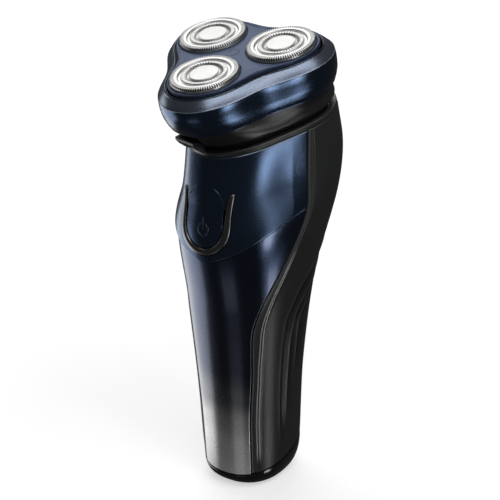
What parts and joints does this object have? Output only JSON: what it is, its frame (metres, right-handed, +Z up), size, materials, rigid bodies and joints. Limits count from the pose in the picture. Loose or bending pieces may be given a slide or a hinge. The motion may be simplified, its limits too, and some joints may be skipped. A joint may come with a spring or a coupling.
{
  "type": "electric shaver",
  "caption": "Cordless rotary electric shaver with a waisted handle, a tilted flip-open head of floating round guards, a geared drive, a push button and a base charging inlet.",
  "frame": {"origin": "centre of the flat bottom of the base cap, on the surface that the shaver stands on", "axes": "+Z up along the handle; -Y towards the front with the push button; +X to the right as seen from the front"},
  "size_m": [0.063, 0.0657, 0.1647],
  "materials": {
    "gloss_black": "gloss",
    "inlet_black": "satin",
    "pin_metal": "satin",
    "grip_black": "satin",
    "panel_blue_silver": "metallic lacquer, gloss",
    "cover_navy": "metallic lacquer, gloss",
    "trim_gunmetal": "satin metallic",
    "deck_black": "satin",
    "gear_white": "satin",
    "motor_steel": "satin",
    "cell_jacket": "printed film, gloss",
    "board_green": "satin",
    "switch_black": "matte",
    "plate_slate": "metallic lacquer, satin",
    "retainer_grey": "satin",
    "guard_steel": "satin",
    "cap_satin": "satin",
    "cutter_steel": "ground"
  },
  "bodies": {
    "handle": {"base_cap": "gloss_black", "charge_socket": "inlet_black", "socket_pin_left": "pin_metal", "socket_pin_right": "pin_metal", "rear_shell": "grip_black", "lower_panel": "panel_blue_silver", "upper_cover": "cover_navy", "button_trim": "trim_gunmetal", "neck_ring": "trim_gunmetal", "top_deck": "deck_black", "gear_plate": "gear_white", "motor_can": "motor_steel", "chassis": "gear_white", "battery": "cell_jacket", "circuit_board": "board_green", "tact_switch": "switch_black", "hinge_pin": "pin_metal", "deck_screw_1": "pin_metal", "deck_screw_2": "pin_metal", "deck_screw_3": "pin_metal"},
    "drive": {"motor_rotor": "motor_steel", "drive_gear": "gear_white"},
    "spindle_1": {"spindle_gear_1": "gear_white"},
    "spindle_2": {"spindle_gear_2": "gear_white"},
    "spindle_3": {"spindle_gear_3": "gear_white"},
    "button": {"power_button": "cover_navy"},
    "latch": {"release_tab": "grip_black"},
    "head": {"head_frame": "cover_navy", "head_plate": "plate_slate", "hair_chamber": "grip_black", "retainer": "retainer_grey"},
    "lock": {"lock_knob": "deck_black"},
    "guard_1_float": {"guard_1": "guard_steel", "guard_cap_1": "cap_satin"},
    "cutter_1_set": {"cutter_1": "cutter_steel", "drive_hub_1": "gear_white"},
    "guard_2_float": {"guard_2": "guard_steel", "guard_cap_2": "cap_satin"},
    "cutter_2_set": {"cutter_2": "cutter_steel", "drive_hub_2": "gear_white"},
    "guard_3_float": {"guard_3": "guard_steel", "guard_cap_3": "cap_satin"},
    "cutter_3_set": {"cutter_3": "cutter_steel", "drive_hub_3": "gear_white"}
  },
  "joints": [
    {"name": "head_flip", "type": "hinge", "parent": "handle", "child": "head", "pos_m": [0, 0.03208, 0.14284], "axis": [-1, 0, 0], "range_deg": [0, 105]},
    {"name": "lock_turn", "type": "hinge", "parent": "head", "child": "lock", "pos_m": [0, 0.00311, 0.14742], "axis": [0, -0.2419, 0.9703], "range_deg": [0, 90]},
    {"name": "drive_spin", "type": "hinge", "parent": "handle", "child": "drive", "pos_m": [0, 0.00722, 0.13092], "axis": [0, -0.2419, 0.9703], "continuous": true},
    {"name": "button_press", "type": "slide", "parent": "handle", "child": "button", "axis": [0, 1, 0], "range_m": [0, 0.0008], "stiffness_N_per_m": 900, "springref_m": -0.0006},
    {"name": "latch_press", "type": "slide", "parent": "handle", "child": "latch", "axis": [0.2079, 0.9491, 0.2366], "range_m": [0, 0.0012], "stiffness_N_per_m": 700, "springref_m": -0.0006},
    {"name": "spindle_1_spin", "type": "hinge", "parent": "handle", "child": "spindle_1", "pos_m": [0, -0.00869, 0.12696], "axis": [0, -0.2419, 0.9703], "continuous": true},
    {"name": "guard_1_press", "type": "slide", "parent": "head", "child": "guard_1_float", "axis": [0, 0.2419, -0.9703], "range_m": [0, 0.0015], "stiffness_N_per_m": 500, "springref_m": -0.0012},
    {"name": "cutter_1_spin", "type": "hinge", "parent": "guard_1_float", "child": "cutter_1_set", "pos_m": [0, -0.01522, 0.15315], "axis": [0, -0.2419, 0.9703], "continuous": true},
    {"name": "spindle_2_spin", "type": "hinge", "parent": "handle", "child": "spindle_2", "pos_m": [0.0142, 0.01518, 0.13291], "axis": [0, -0.2419, 0.9703], "continuous": true},
    {"name": "guard_2_press", "type": "slide", "parent": "head", "child": "guard_2_float", "axis": [0, 0.2419, -0.9703], "range_m": [0, 0.0015], "stiffness_N_per_m": 500, "springref_m": -0.0012},
    {"name": "cutter_2_spin", "type": "hinge", "parent": "guard_2_float", "child": "cutter_2_set", "pos_m": [0.0142, 0.00865, 0.1591], "axis": [0, -0.2419, 0.9703], "continuous": true},
    {"name": "spindle_3_spin", "type": "hinge", "parent": "handle", "child": "spindle_3", "pos_m": [-0.0142, 0.01518, 0.13291], "axis": [0, -0.2419, 0.9703], "continuous": true},
    {"name": "guard_3_press", "type": "slide", "parent": "head", "child": "guard_3_float", "axis": [0, 0.2419, -0.9703], "range_m": [0, 0.0015], "stiffness_N_per_m": 500, "springref_m": -0.0012},
    {"name": "cutter_3_spin", "type": "hinge", "parent": "guard_3_float", "child": "cutter_3_set", "pos_m": [-0.0142, 0.00865, 0.1591], "axis": [0, -0.2419, 0.9703], "continuous": true}
  ],
  "couplings": [
    {"joint": "spindle_1_spin", "follows": "drive_spin", "ratio": -2.6},
    {"joint": "cutter_1_spin", "follows": "drive_spin", "ratio": -2.6},
    {"joint": "spindle_2_spin", "follows": "drive_spin", "ratio": -2.6},
    {"joint": "cutter_2_spin", "follows": "drive_spin", "ratio": -2.6},
    {"joint": "spindle_3_spin", "follows": "drive_spin", "ratio": -2.6},
    {"joint": "cutter_3_spin", "follows": "drive_spin", "ratio": -2.6}
  ]
}
